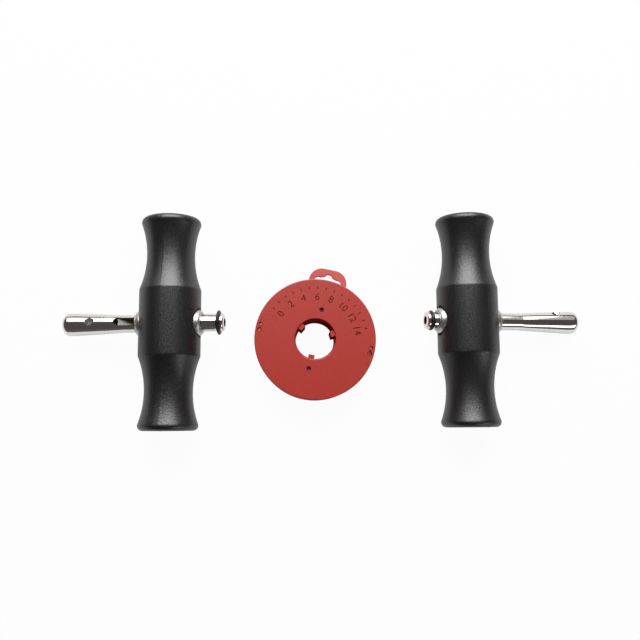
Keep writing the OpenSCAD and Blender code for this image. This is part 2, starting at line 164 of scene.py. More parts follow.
# Draws an outline of (place along X, radius) round the X axis, one extruded ring at a time.
# A radius of 0 closes the end in a pole.
def turned(name, outline, around=64):
    pole = 0.001 * mm
    bpy.ops.object.select_all(action="DESELECT")
    at, radius = outline[0][0], max(outline[0][1], pole)
    bpy.ops.mesh.primitive_circle_add(vertices=around, radius=radius, rotation=(0, math.pi / 2, 0),
                                      location=(at, 0, 0))
    piece = bpy.context.object
    piece.name = name
    bpy.ops.object.transform_apply(location=True, rotation=True, scale=True)
    bpy.ops.object.mode_set(mode="EDIT")
    bpy.ops.mesh.select_all(action="SELECT")
    for nextAt, nextRadius in outline[1:]:
        nextRadius = max(nextRadius, pole)
        bpy.ops.mesh.extrude_region_move(TRANSFORM_OT_translate={"value": (nextAt - at, 0, 0)})
        grow = nextRadius / radius
        bpy.ops.transform.resize(value=(1, grow, grow), center_override=(nextAt, 0, 0))
        at, radius = nextAt, nextRadius
    bpy.ops.object.mode_set(mode="OBJECT")
    closeMesh(piece)
    return piece


def arcPoints(middle, radius, start, end, steps):
    turns = [math.radians(start + (end - start) * i / steps) for i in range(steps + 1)]
    return [(middle[0] + radius * math.cos(a), middle[1] + radius * math.sin(a)) for a in turns]


# A prism across the origin's plane, from its corners in that plane. The axis is Y or Z.
def prism(name, corners, depth, axis):
    bpy.ops.object.select_all(action="DESELECT")
    bpy.ops.mesh.primitive_circle_add(vertices=len(corners), radius=mm, fill_type="NGON")
    piece = bpy.context.object
    piece.name = name
    for vertex, (u, v) in zip(piece.data.vertices, corners):
        vertex.co = (u, -depth / 2, v) if axis == "Y" else (u, v, -depth / 2)
    bpy.ops.object.mode_set(mode="EDIT")
    bpy.ops.mesh.select_all(action="SELECT")
    step = (0, depth, 0) if axis == "Y" else (0, 0, depth)
    bpy.ops.mesh.extrude_region_move(TRANSFORM_OT_translate={"value": step})
    bpy.ops.object.mode_set(mode="OBJECT")
    closeMesh(piece)
    return piece


def makeBox(size, at):
    bpy.ops.object.select_all(action="DESELECT")
    bpy.ops.mesh.primitive_cube_add(size=1, scale=size, location=at)
    piece = bpy.context.object
    bpy.ops.object.transform_apply(location=True, rotation=True, scale=True)
    return piece


# The faces that the tool leaves take the tool's materials.
def combine(piece, tool, how="DIFFERENCE"):
    cut = piece.modifiers.new("cut", "BOOLEAN")
    cut.operation = how
    cut.solver = "EXACT"
    cut.material_mode = "TRANSFER"
    cut.object = tool
    selectOnly(piece)
    bpy.ops.object.modifier_apply(modifier=cut.name)
    bpy.data.objects.remove(tool)


# Rounds every edge that is sharper than the angle.
def softenEdges(piece, width, angle):
    bevel = piece.modifiers.new("edges", "BEVEL")
    bevel.width = width
    bevel.segments = 2
    bevel.limit_method = "ANGLE"
    bevel.angle_limit = math.radians(angle)
    bevel.material = 0
    selectOnly(piece)
    bpy.ops.object.modifier_apply(modifier=bevel.name)


def smooth(piece, angle):
    selectOnly(piece)
    bpy.ops.object.shade_smooth_by_angle(angle=math.radians(angle))


# Keeps the large flat faces flat beside rounded edges.
def settle(piece):
    weigh = piece.modifiers.new("weigh", "WEIGHTED_NORMAL")
    weigh.keep_sharp = True
    selectOnly(piece)
    bpy.ops.object.modifier_apply(modifier=weigh.name)


def placedCopy(model, name, place):
    twin = model.copy()
    twin.data = model.data.copy()
    twin.name = name
    bpy.context.scene.collection.objects.link(twin)
    applyPlace(twin, place)
    return twin


def mergedCopy(node, name, gap=0.002 * mm, flatAngle=0.5):
    twin = placedCopy(nodes[node], name, nodes[node].matrix_world.copy())
    closeMesh(twin, gap)
    selectOnly(twin)
    bpy.ops.object.mode_set(mode="EDIT")
    bpy.ops.mesh.select_all(action="SELECT")
    bpy.ops.mesh.dissolve_limited(angle_limit=math.radians(flatAngle))
    bpy.ops.object.mode_set(mode="OBJECT")
    return twin


# The first material slot is the piece's own. Cut faces may have a second one from their tool.
def dress(piece, material, body, node):
    if piece.data.materials:
        piece.data.materials[0] = material
    else:
        piece.data.materials.append(material)
    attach(piece, body)
    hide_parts(node)


# The span of the noise in which colour and roughness pass from one limit to the other.
noiseSpan = (0.35, 0.65)
noiseRoughness = 0.55


# Bump from a noise whose grains are a given size.
def grainBump(tree, size, strength, depth, stretch=(1, 1, 1), turn=(0, 0, 0), detail=3.0):
    place = addNode(tree, "ShaderNodeTexCoord")
    mapped = addNode(tree, "ShaderNodeMapping", None, {
        "Vector": place.outputs["Object"], "Scale": stretch, "Rotation": turn})
    noise = addNode(tree, "ShaderNodeTexNoise", None, {
        "Vector": mapped.outputs[0], "Scale": 1 / size, "Detail": detail,
        "Roughness": noiseRoughness})
    bump = addNode(tree, "ShaderNodeBump", None, {
        "Height": noise.outputs[0], "Strength": strength, "Distance": depth})
    return noise, bump


def wandering(tree, noise, low, high):
    ranged = addNode(tree, "ShaderNodeMapRange", None, {
        "Value": noise.outputs[0], "From Min": noiseSpan[0], "From Max": noiseSpan[1],
        "To Min": low, "To Max": high})
    return ranged.outputs[0]


def twoColours(tree, noise, colours):
    ramp = addNode(tree, "ShaderNodeValToRGB", None, {"Fac": noise.outputs[0]})
    for element, position, colour in zip(ramp.color_ramp.elements, noiseSpan, colours):
        element.position = position
        element.color = hexToLinear(colour)
    return ramp.outputs[0]


def makeFinish(name, grain, colours, roughness, more):
    material, tree = newMaterial(name)
    noise, bump = grainBump(tree, **grain)
    shader = addNode(tree, "ShaderNodeBsdfPrincipled", None, {
        "Base Color": twoColours(tree, noise, colours),
        "Roughness": wandering(tree, noise, *roughness),
        "Normal": bump.outputs[0], **more})
    finishMaterial(tree, shader)
    return material


# Injection moulded polystyrene with a fine matt tool texture: an even, slightly chalky red.
# The texture is about 0.1 mm and is drawn at 0.7 mm.
def makeRedStyrene(name, colours, roughness, specular=0.5):
    grain = {"size": 0.7 * mm, "strength": 0.2, "depth": 0.02 * mm}
    return makeFinish(name, grain, colours, roughness,
                      {"IOR": 1.59, "Specular IOR Level": specular})


# Stainless steel, turned and buffed: mirror bands drawn out by faint rings round the axis.
# The rings are about 0.1 mm apart and are drawn at 0.5 mm. The collars are left satin, which
# spreads the bands into soft greys.
def makeTurnedSteel(side, name, colours, roughness):
    along = Vector(joints[side + "_shaft_turn"]["axis"])
    turn = along.to_track_quat("X", "Z").inverted().to_euler()
    grain = {"size": 0.5 * mm, "strength": 0.12, "depth": 0.01 * mm,
             "stretch": (1, 0.05, 0.05), "turn": turn, "detail": 2.0}
    return makeFinish(name + side.capitalize(), grain, colours, roughness, {"Metallic": 1.0})


# Faces as the cutter or the die left them: even and rougher than the buffed outside. Their darker
# colours are painted shade, for the slot, the wire hole and the screw socket.
# The tool marks are under 0.1 mm and are drawn at 0.4 mm.
def makeCutSteel(name, colours):
    grain = {"size": 0.4 * mm, "strength": 0.2, "depth": 0.015 * mm}
    return makeFinish(name, grain, colours, (0.5, 0.6), {"Metallic": 1.0})


# Metals that the grips hide, drawn or turned, and the wire: soft streaks, which are about
# 0.1 mm wide and are drawn at 0.6 mm.
def makeDrawnMetal(name, colours, roughness):
    grain = {"size": 0.6 * mm, "strength": 0.2, "depth": 0.02 * mm, "stretch": (1, 0.2, 0.2)}
    return makeFinish(name, grain, colours, roughness, {"Metallic": 1.0})


# Glass filled nylon, moulded in a spark eroded tool: a satin black that is never quite even.
# The real grain is about 0.5 mm and is drawn at 1 mm, so that it shows in the render.
blackNylon = makeFinish(
    "mouldedBlackNylon", {"size": 1.0 * mm, "strength": 1.0, "depth": 0.12 * mm},
    ("#08080a", "#0e0e0f"), (0.34, 0.42), {"IOR": 1.7})
# Moulded nitrile rubber: near black and dull, with a faint bloom. Its grain is about 0.1 mm
# and is drawn at 0.5 mm.
rubber = makeFinish(
    "mouldedNitrileRubber", {"size": 0.5 * mm, "strength": 0.3, "depth": 0.03 * mm},
    ("#0a0a0a", "#121212"), (0.34, 0.5), {"IOR": 1.52})
spoolRed = makeRedStyrene("mouldedRedStyrene", ("#9f261c", "#a72b21"), (0.36, 0.44))
tabRed = makeRedStyrene("mouldedRedStyreneTab", ("#b8453f", "#c04b45"), (0.36, 0.44))
# Little light reaches the walls of the bore, of the hub and of the engraving, so they are painted
# darker reds without sheen: a painted shade.
shadedWallRed = makeRedStyrene("mouldedRedStyreneWallPaintedShade", ("#8e261e", "#982c23"), (0.56, 0.64), 0.0)
shadedRecessRed = makeRedStyrene("mouldedRedStyreneRecessPaintedShade", ("#681a15", "#741f1a"), (0.56, 0.64), 0.1)
steel, satinSteel = [
    {side: makeTurnedSteel(side, name, colours, roughness) for side in sides}
    for name, colours, roughness in (("buffedStainless", ("#e4e1de", "#eeebe8"), (0.05, 0.1)),
                                     ("satinStainless", ("#c3c0bc", "#cdcac6"), (0.32, 0.4)))]
shadedMilledSteel = makeCutSteel("milledStainlessPaintedShade", ("#918d88", "#9b9792"))
shadedDrilledSteel = makeCutSteel("drilledStainlessPaintedShade", ("#b0aba4", "#bab5ae"))
# The screw socket's walls are painted near black, a painted shade.
shadedSocketSteel = makeCutSteel("socketSteelPaintedShade", ("#262423", "#32302e"))
wireSteel = makeDrawnMetal("drawnStainlessWire", ("#b9b7b4", "#cfcdca"), (0.2, 0.32))
tubeSteel = makeDrawnMetal("drawnSteelTube", ("#9c9a97", "#b4b2af"), (0.29, 0.41))
bronze = makeDrawnMetal("turnedBronze", ("#b58a4c", "#cda25e"), (0.24, 0.36))
springSteel = makeDrawnMetal("oiledSpringSteel", ("#4a4a4c", "#5c5c5e"), (0.32, 0.44))
print("materials ready")

grip = {
    "length": 131 * mm, "barrel": 37.8 * mm, "waist": 29.4 * mm, "waistAt": 42 * mm,
    "sweep": 57.2 * mm, "shoulder": 3 * mm, "endRound": 3.1 * mm, "bore": 18 * mm,
    "boreEdge": 0.35 * mm, "boreAround": 96, "around": 144, "ringStep": 1.2 * mm,
    "shoulderSteps": 6, "sweepSteps": 40, "endSteps": 12, "smoothAngle": 34,
    "partingAt": {"left": 2, "right": 18}, "partingHeight": 0.1 * mm,
    "endDish": 0.5 * mm, "endRings": (0.93, 0.8, 0.4),
}


# Half of the grip's outline, from the middle to one end, with the end face slightly dished.
def gripOutline():
    barrel, waist = grip["barrel"] / 2, grip["waist"] / 2
    sweepMid = (grip["waistAt"], waist + grip["sweep"])
    shoulderY = barrel - grip["shoulder"]
    reach = grip["sweep"] + grip["shoulder"]
    run = math.sqrt(reach ** 2 - (sweepMid[1] - shoulderY) ** 2)
    endAt = grip["length"] / 2 - grip["endRound"]
    endReach = grip["sweep"] + grip["endRound"]
    endY = sweepMid[1] - math.sqrt(endReach ** 2 - (endAt - sweepMid[0]) ** 2)
    shoulderTurn = math.degrees(math.asin(run / reach))
    endTurn = math.degrees(math.asin((endAt - sweepMid[0]) / endReach))
    shoulderMid = (sweepMid[0] - run, shoulderY)
    steps = int(shoulderMid[0] / grip["ringStep"])
    barrelPart = [(shoulderMid[0] * i / steps, barrel) for i in range(steps)]
    rounded = arcPoints(shoulderMid, grip["shoulder"], 90, 90 - shoulderTurn, grip["shoulderSteps"])
    swept = arcPoints(sweepMid, grip["sweep"], 270 - shoulderTurn, 270 + endTurn, grip["sweepSteps"])
    ended = arcPoints((endAt, endY), grip["endRound"], 90 + endTurn, 0, grip["endSteps"])
    end, dish = grip["length"] / 2, grip["length"] / 2 - grip["endDish"]
    rim, flat, inside = (endY * share for share in grip["endRings"])
    face = [(end, rim), (dish, flat), (dish, inside), (dish, 0)]
    return barrelPart + rounded + swept[1:] + ended[1:] + face


def makeGrip(side):
    half = gripOutline()
    whole = [(-at, radius) for at, radius in reversed(half[1:])] + half
    piece = turned(side + "_grip_shell", whole, grip["around"])
    raiseParting(piece, grip["partingAt"][side])
    applyPlace(piece, Matrix.Rotation(math.pi / 2, 4, "Z"))
    reach, edge, radius, past = grip["barrel"] / 2, grip["boreEdge"], grip["bore"] / 2, mm
    mouth = radius + edge + past
    bore = turned("bore", [
        (-reach - past, 0), (-reach - past, mouth), (-reach + edge + past, radius),
        (reach - edge - past, radius), (reach + past, mouth), (reach + past, 0)], grip["boreAround"])
    combine(piece, bore)
    smooth(piece, grip["smoothAngle"])
    applyPlace(piece, handlePlace(side))
    dress(piece, blackNylon, side + "_handle", side + "_grip")


# The parting line of the mould stands up a hair, along both sides of the grip but not on its ends.
# Its angle is counted from straight up, towards the free end of the shaft.
def raiseParting(piece, angle):
    selectOnly(piece)
    bpy.ops.object.mode_set(mode="EDIT")
    bpy.ops.mesh.select_all(action="DESELECT")
    bpy.ops.object.mode_set(mode="OBJECT")
    step = 360 / grip["around"]
    for vertex in piece.data.vertices:
        turn = math.degrees(math.atan2(-vertex.co.y, vertex.co.z)) - angle
        off = abs((turn + 90) % 180 - 90)
        radius = math.hypot(vertex.co.y, vertex.co.z)
        vertex.select = off < step / 2 and radius > grip["waist"] / 2 * grip["endRings"][1]
    bpy.ops.object.mode_set(mode="EDIT")
    bpy.ops.transform.shrink_fatten(value=grip["partingHeight"])
    bpy.ops.object.mode_set(mode="OBJECT")


for side in sides:
    makeGrip(side)
print("grips ready")

collar = {
    "sleeveBore": 15 * mm, "sleeveEnd": 14.5 * mm, "outer": 16.4 * mm, "bore": 10.8 * mm,
    "faceAt": {"front": 20.5 * mm, "rear": 20.4 * mm}, "domeDrop": 1.8 * mm, "domeLength": 3.5 * mm,
    "domeSteps": 20, "mouth": 0.9 * mm, "rim": 0.25 * mm, "rimSteps": 5, "depth": 6 * mm,
    "around": 96, "smoothAngle": 32,
}


def makeCollar(which):
    face, bore, mouth = collar["faceAt"][which], collar["bore"] / 2, collar["mouth"]
    lip, outer, rim = collar["outer"] / 2 - collar["domeDrop"], collar["outer"] / 2, collar["rim"]
    sleeve, end = collar["sleeveBore"] / 2, collar["sleeveEnd"]
    dome = []
    for i in range(collar["domeSteps"] + 1):
        turn = math.radians(90 * i / collar["domeSteps"])
        back = collar["domeLength"] * (1 - math.sin(turn))
        dome.append((face - rim - back, lip + collar["domeDrop"] * math.cos(turn)))
    rounded = arcPoints((face - rim, lip - rim), rim, 90, 0, collar["rimSteps"])
    start = end - collar["depth"]
    outline = [(start, bore), (start, sleeve), (end, sleeve), (end, outer)] + dome + rounded[1:]
    outline += [(face, bore + mouth + rim), (face - rim / 3, bore + mouth), (face - mouth, bore)]
    outline += [(start, bore)]
    piece = turned(which + "CollarModel", outline, collar["around"])
    smooth(piece, collar["smoothAngle"])
    if which == "rear":
        applyPlace(piece, Matrix.Rotation(math.pi, 4, "Z"))
    return piece


for which in ("front", "rear"):
    model = makeCollar(which)
    for side in sides:
        piece = placedCopy(model, f"{side}_{which}_collar_turned", handlePlace(side))
        dress(piece, satinSteel[side], side + "_handle", f"{side}_{which}_collar")
    bpy.data.objects.remove(model)

seatRing = {
    "inner": collar["outer"], "outer": grip["bore"], "from": collar["sleeveEnd"], "thick": 2.1 * mm,
    "lip": 0.35 * mm, "lipSteps": 5, "around": 96, "smoothAngle": 40,
}


def makeSeatRings():
    start, end = seatRing["from"], seatRing["from"] + seatRing["thick"]
    inner, outer, lip = seatRing["inner"] / 2, seatRing["outer"] / 2, seatRing["lip"]
    steps = seatRing["lipSteps"]
    outline = [(start, inner), (start, outer)]
    outline += arcPoints((end - lip, outer - lip), lip, 90, 0, steps)
    outline += arcPoints((end - lip, inner + lip), lip, 360, 270, steps) + [(start, inner)]
    rings = []
    for turn in (0, math.pi):
        ring = turned("seatRing", outline, seatRing["around"])
        applyPlace(ring, Matrix.Rotation(turn, 4, "Z"))
        rings.append(ring)
    bpy.ops.object.select_all(action="DESELECT")
    for ring in rings:
        ring.select_set(True)
    bpy.context.view_layer.objects.active = rings[0]
    bpy.ops.object.join()
    smooth(rings[0], seatRing["smoothAngle"])
    return rings[0]


model = makeSeatRings()
for side in sides:
    piece = placedCopy(model, side + "_seat_rings_moulded", handlePlace(side))
    dress(piece, rubber, side + "_handle", side + "_seat_rings")
bpy.data.objects.remove(model)
print("collars and seat rings ready")

shaft = {
    "straight": 10.7 * mm, "tip": 14 * mm, "tipAt": 66.8 * mm, "tipRound": 4 * mm,
    "flareFrom": 28.5 * mm, "kneeAt": 38.3 * mm, "knee": 12 * mm, "flareTo": 59 * mm,
    "neckAt": 29.6 * mm, "neckRound": 0.4 * mm, "seat": 9.1 * mm, "headAt": 32 * mm,
    "holeAt": 50.1 * mm, "hole": 4.8 * mm, "holeSink": 0.3 * mm, "holeSinkAt": 6 * mm,
    "holeLean": 9, "holeAround": 64, "edge": 0.25 * mm, "edgeAngle": 40,
    "slotWidth": 4.7 * mm, "slotTo": 34.2 * mm, "slotFrom": 8 * mm, "slotBelow": 3.2 * mm,
    "deepBack": 14 * mm, "ridgeBelow": 1.2 * mm, "pocket": 2.8 * mm,
    "clipAt": (-7.9 * mm, -2.8 * mm), "clip": 1 * mm, "groove": 9.6 * mm, "around": 96,
    "neckSteps": 4, "tipSteps": 14, "slotSteps": 32, "smoothAngle": 32,
}


def makeShaft():
    radius, tip, seat = shaft["straight"] / 2, shaft["tip"] / 2, shaft["seat"] / 2
    neck, neckRound = -shaft["neckAt"], shaft["neckRound"]
    outline = [(-shaft["headAt"], 0), (-shaft["headAt"], seat), (neck, seat)]
    neckMid = (neck + neckRound, radius - neckRound)
    outline += arcPoints(neckMid, neckRound, 180, 90, shaft["neckSteps"])
    groove, clip = shaft["groove"] / 2, shaft["clip"]
    for at in shaft["clipAt"]:
        outline += [(at, radius), (at, groove), (at + clip, groove), (at + clip, radius)]
    outline += [(shaft["flareFrom"], radius), (shaft["kneeAt"], shaft["knee"] / 2),
                (shaft["flareTo"], tip)]
    tipMid = (shaft["tipAt"] - shaft["tipRound"], tip - shaft["tipRound"])
    outline += arcPoints(tipMid, shaft["tipRound"], 90, 0, shaft["tipSteps"])
    outline += [(shaft["tipAt"], 0)]
    piece = turned("shaftModel", outline, shaft["around"])
    piece.data.materials.append(steel["left"])
    combine(piece, makeSlotTool())
    combine(piece, makeDrill())
    softenEdges(piece, shaft["edge"], shaft["edgeAngle"])
    crease(piece, (shaft["flareFrom"], shaft["kneeAt"]))
    smooth(piece, shaft["smoothAngle"])
    settle(piece)
    return piece


# The wire hole leans towards the grip, and both its mouths are countersunk and buffed.
def makeDrill():
    bore, sink, past = shaft["hole"] / 2 - shaft["holeSink"], shaft["holeSinkAt"], shaft["tip"]
    tool = turned("drill", [(-past, 0), (-past, bore + past - sink), (-sink, bore), (sink, bore),
                            (past, bore + past - sink), (past, 0)], shaft["holeAround"])
    # The hole's walls take the darker drilled steel, a painted shade; the countersinks keep the
    # buffed steel.
    for finish in (shadedDrilledSteel, steel["left"]):
        tool.data.materials.append(finish)
    for face in tool.data.polygons:
        face.material_index = 1 if abs(face.center.x) > sink else 0
    lean = Matrix.Rotation(-math.radians(90 + shaft["holeLean"]), 4, "Y")
    applyPlace(tool, Matrix.Translation((shaft["holeAt"], 0, 0)) @ lean)
    return tool


# Keeps the rings at the given places sharp, where one taper ends and the next begins.
def crease(piece, places, near=0.01 * mm):
    mesh = piece.data
    for edge in mesh.edges:
        ends = [mesh.vertices[i].co.x for i in edge.vertices]
        if any(max(abs(end - place) for end in ends) < near for place in places):
            edge.use_edge_sharp = True


# The slot's floor rises both ways from its deepest place. A deep pocket lies behind the ridge.
def makeSlotTool():
    width, top, low = shaft["slotWidth"], shaft["tip"], -shaft["slotBelow"]
    middle = shaft["slotTo"] - width / 2
    ridge, ridgeZ = shaft["slotTo"] - shaft["pocket"], shaft["straight"] / 2 - shaft["ridgeBelow"]
    plan = [(0, -width / 2)] + arcPoints((middle, 0), width / 2, -90, 90, shaft["slotSteps"])
    plan += [(0, width / 2)]
    floor = prism("slotFloor", [
        (shaft["slotFrom"], shaft["straight"] / 2), (shaft["slotTo"] - shaft["deepBack"], low),
        (ridge, ridgeZ), (ridge, low), (shaft["slotTo"] + mm, low), (shaft["slotTo"] + mm, top),
        (shaft["slotFrom"], top)], 3 * width, "Y")
    tool = prism("slotTool", plan, 3 * top, "Z")
    combine(tool, floor, "INTERSECT")
    # The slot's faces take the darker milled steel, a painted shade.
    tool.data.materials.clear()
    tool.data.materials.append(shadedMilledSteel)
    return tool


screw = {
    "headAt": shaft["headAt"], "head": 11 * mm, "height": 2.2 * mm, "dome": 1.2 * mm,
    "domeSteps": 10, "crown": 0.25 * mm, "edge": 0.2 * mm, "around": 96, "smoothAngle": 32,
    "socket": 4.9 * mm, "lobes": 6, "lobe": 0.27 * mm, "socketDepth": 1.9 * mm,
    "socketTip": 0.4 * mm, "mouth": 0.15 * mm, "past": 0.5 * mm, "socketAround": 72,
    "thread": 6 * mm, "threadLength": 12 * mm, "threadEdge": 0.6 * mm,
}


def makeScrew():
    seatAt = -screw["headAt"]
    endAt = seatAt - screw["height"]
    head, dome, crown, edge = screw["head"] / 2, screw["dome"], screw["crown"], screw["edge"]
    thread, threadEdge = screw["thread"] / 2, screw["threadEdge"]
    threadEnd = seatAt + screw["threadLength"]
    outline = [(endAt, 0), (endAt, screw["socket"] / 2 + screw["mouth"] + edge)]
    domeMid = (endAt + crown + dome, head - dome)
    outline += arcPoints(domeMid, dome, 180, 90, screw["domeSteps"])
    outline += [(seatAt - edge, head), (seatAt, head - edge), (seatAt, thread)]
    outline += [(threadEnd - threadEdge, thread), (threadEnd, thread - threadEdge), (threadEnd, 0)]
    piece = turned("screwModel", outline, screw["around"])
    piece.data.materials.append(steel["left"])
    combine(piece, makeSocketTool(endAt))
    smooth(piece, screw["smoothAngle"])
    return piece


# The lobes are a wave round a circle. The mouth of the socket is opened by a short cone.
def makeSocketTool(endAt):
    radius, past, around = screw["socket"] / 2 - screw["lobe"], screw["past"], screw["socketAround"]
    floor = endAt + screw["socketDepth"]
    tool = turned("socketTool", [(endAt - past, 0), (endAt - past, radius), (floor, radius),
                                 (floor + screw["socketTip"], 0)], around)
    for vertex in tool.data.vertices:
        turn = math.atan2(vertex.co.z, vertex.co.y)
        grow = 1 + screw["lobe"] / radius * math.cos(screw["lobes"] * turn)
        vertex.co.y *= grow
        vertex.co.z *= grow
    mouth, sink = screw["socket"] / 2 + screw["mouth"], 2 * screw["mouth"]
    cone = turned("mouthTool", [(endAt - past, 0), (endAt - past, mouth + past),
                                (endAt + sink, mouth - sink), (endAt + sink, 0)], around)
    combine(tool, cone, "UNION")
    # The socket's walls take the near black steel, a painted shade.
    tool.data.materials.clear()
    tool.data.materials.append(shadedSocketSteel)
    return tool


oRing = {
    "seat": shaft["seat"], "neckAt": shaft["neckAt"], "width": 2.4 * mm, "narrow": 0.72,
    "height": {"left": 3 * mm, "right": 1.6 * mm}, "around": 96, "section": 32,
    "smoothAngle": 60,
}


def makeORing(side):
    height = oRing["height"][side]
    middle = oRing["seat"] / 2 + height / 2
    at = -oRing["neckAt"] - oRing["width"] / 2
    bpy.ops.object.select_all(action="DESELECT")
    bpy.ops.mesh.primitive_torus_add(
        major_radius=middle, minor_radius=height / 2, rotation=(0, math.pi / 2, 0),
        major_segments=oRing["around"], minor_segments=oRing["section"])
    piece = bpy.context.object
    piece.name = side + "_o_ring_moulded"
    bpy.ops.object.transform_apply(location=True, rotation=True, scale=True)
    bpy.ops.object.mode_set(mode="EDIT")
    bpy.ops.mesh.select_all(action="SELECT")
    wide = oRing["width"] * oRing["narrow"] / height
    bpy.ops.transform.resize(value=(wide, 1, 1), center_override=(0, 0, 0))
    bpy.ops.transform.translate(value=(at, 0, 0))
    bpy.ops.object.mode_set(mode="OBJECT")
    smooth(piece, oRing["smoothAngle"])
    applyPlace(piece, spindlePlace(side))
    dress(piece, rubber, side + "_spindle", side + "_o_ring")


for name, make in (("shaft", makeShaft), ("end_screw", makeScrew)):
    model = make()
    for side in sides:
        piece = placedCopy(model, f"{side}_{name}_turned", spindlePlace(side))
        dress(piece, steel[side], side + "_spindle", f"{side}_{name}")
    bpy.data.objects.remove(model)
for side in sides:
    makeORing(side)
print("shafts, screws and rings ready")

spool = {
    "turn": -12.9, "front": 75 * mm, "frontThick": 3 * mm, "height": 20 * mm, "hole": 25.1 * mm,
    "edge": 0.6 * mm, "smallHole": 2.4 * mm, "innerHoleAt": 18.6 * mm, "rimHoleAt": 34.8 * mm,
    "rimHoleStep": 3.6 * mm, "link": 1.1 * mm, "linkDepth": 1 * mm, "countersink": 0.25 * mm,
    "marks": 15, "markFrom": 24, "markTo": 156, "markAt": 32 * mm, "markLength": 1.6 * mm,
    "markWidth": 0.6 * mm, "markDepth": 0.3 * mm,
    "digitSize": 6.2 * mm, "digitAt": 26.2 * mm, "digitDepth": 0.3 * mm, "digitCurve": 4,
    "lowEdge": 0.2 * mm, "boreBand": 0.1 * mm, "around": 192, "holeAround": 32,
    "edgeSteps": 6, "edgeAngle": 40, "smoothAngle": 30,
}


def makeFrontPlate():
    top, bottom = spool["height"], spool["height"] - spool["frontThick"]
    inner, outer = spool["hole"] / 2, spool["front"] / 2
    edge, lowEdge, steps = spool["edge"], spool["lowEdge"], spool["edgeSteps"]
    outline = arcPoints((top - edge, outer - edge), edge, 90, 0, steps)
    outline += arcPoints((top - edge, inner + edge), edge, 360, 270, steps)
    outline += [(bottom, inner), (bottom, outer - lowEdge), (bottom + lowEdge, outer),
                (top - edge, outer)]
    piece = turned("spool_front_plate_moulded", outline, spool["around"])
    applyPlace(piece, Matrix.Rotation(-math.pi / 2, 4, "Y"))
    piece.data.materials.append(spoolRed)
    # The faces of the bore's wall take the darker red, a painted shade.
    piece.data.materials.append(shadedWallRed)
    for face in piece.data.polygons:
        if math.hypot(face.center.x, face.center.y) < inner + spool["boreBand"]:
            face.material_index = 1
    for at in smallHolePlaces():
        combine(piece, holeTool(at, top))
    for turn in (0, 180):
        combine(piece, linkTool(turn, top))
    for tool in makeMarks(top):
        combine(piece, tool)
    smooth(piece, spool["smoothAngle"])
    settle(piece)
    applyPlace(piece, spoolPlace(spool["turn"]))
    dress(piece, spoolRed, "spool", "spool_front_plate")


def smallHolePlaces():
    half = math.degrees(math.asin(spool["rimHoleStep"] / 2 / spool["rimHoleAt"]))
    places = [(spool["innerHoleAt"], turn) for turn in (90, 270)]
    places += [(spool["rimHoleAt"], turn + step) for turn in (0, 180) for step in (-half, half)]
    return [(r * math.cos(math.radians(a)), r * math.sin(math.radians(a))) for r, a in places]


def holeTool(at, top):
    radius, sink, low = spool["smallHole"] / 2, spool["countersink"], top - 2 * spool["frontThick"]
    outline = [(low, 0), (low, radius), (top - sink, radius), (top + sink, radius + 2 * sink),
               (top + sink, 0)]
    tool = turned("holeTool", outline, spool["holeAround"])
    # The hole's walls take the darkest red, a painted shade.
    tool.data.materials.append(shadedRecessRed)
    applyPlace(tool, Matrix.Translation((at[0], at[1], 0)) @ Matrix.Rotation(-math.pi / 2, 4, "Y"))
    return tool


# A tool that lies across the radius, centred on the plate's face.
def strokeTool(angle, at, size, top):
    tool = makeBox(size, (at, 0, top))
    # The stroke's walls and floor take the darkest red, a painted shade.
    tool.data.materials.append(shadedRecessRed)
    applyPlace(tool, Matrix.Rotation(math.radians(angle), 4, "Z"))
    return tool


# A shallow channel joins the two holes of each rim pair, for the wire's end.
def linkTool(angle, top):
    size = (spool["link"], spool["rimHoleStep"], 2 * spool["linkDepth"])
    return strokeTool(angle, spool["rimHoleAt"], size, top)


# Plain strokes and plain even numbers stand in the place of the engraved words.
def makeMarks(top):
    tools = []
    size = (spool["markLength"], spool["markWidth"], 2 * spool["markDepth"])
    count, first, last = spool["marks"], spool["markFrom"], spool["markTo"]
    for i in range(count):
        angle = last - (last - first) * i / (count - 1)
        tools.append(strokeTool(angle, spool["markAt"], size, top))
        if i % 2 == 0:
            tools.append(numberTool(str(i), Matrix.Rotation(math.radians(angle), 4, "Z"), top))
    return tools


def numberTool(text, turn, top):
    bpy.ops.object.select_all(action="DESELECT")
    bpy.ops.object.text_add()
    words = bpy.context.object
    words.data.body = text
    words.data.size = spool["digitSize"]
    words.data.extrude = spool["digitDepth"]
    words.data.align_x = "CENTER"
    words.data.align_y = "CENTER"
    words.data.resolution_u = spool["digitCurve"]
    selectOnly(words)
    bpy.ops.object.convert(target="MESH")
    tool = bpy.context.object
    # The digits' walls and floors take the darkest red, a painted shade.
    tool.data.materials.append(shadedRecessRed)
    upright = Matrix.Rotation(-math.pi / 2, 4, "Z")
    applyPlace(tool, turn @ Matrix.Translation((spool["digitAt"], 0, top)) @ upright)
    closeMesh(tool, 0.001 * mm)
    return tool


makeFrontPlate()
print("front plate ready")

# The hub and the back plate keep the construction's shape, with moulded edges. The hub's faces that
# look up keep the plates' red; its other faces take the darker red, a painted shade.
plates = {
    "spool_hub": {
        "edge": 0.25 * mm, "finish": shadedWallRed, "topFinish": spoolRed, "slot": "red_plastic"},
    "spool_back_plate": {
        "edge": 0.45 * mm, "finish": tabRed, "topFinish": None, "slot": "red_tab_plastic"},
}
facingUp = 0.5
for node, plate in plates.items():
    piece = mergedCopy(node, node + "_moulded")
    if plate["topFinish"]:
        piece.data.materials.append(plate["topFinish"])
        for face in piece.data.polygons:
            if face.normal.z > facingUp:
                face.material_index = 1
    softenEdges(piece, plate["edge"], spool["edgeAngle"])
    smooth(piece, spool["smoothAngle"])
    settle(piece)
    dress(piece, plate["finish"], "spool", node)
print("hub and back plate ready")

wire = {
    "thick": 0.75 * mm, "drum": 46 * mm, "from": 2.5 * mm, "to": 16.7 * mm,
    "steps": 96, "around": 10, "smoothAngle": 60,
}


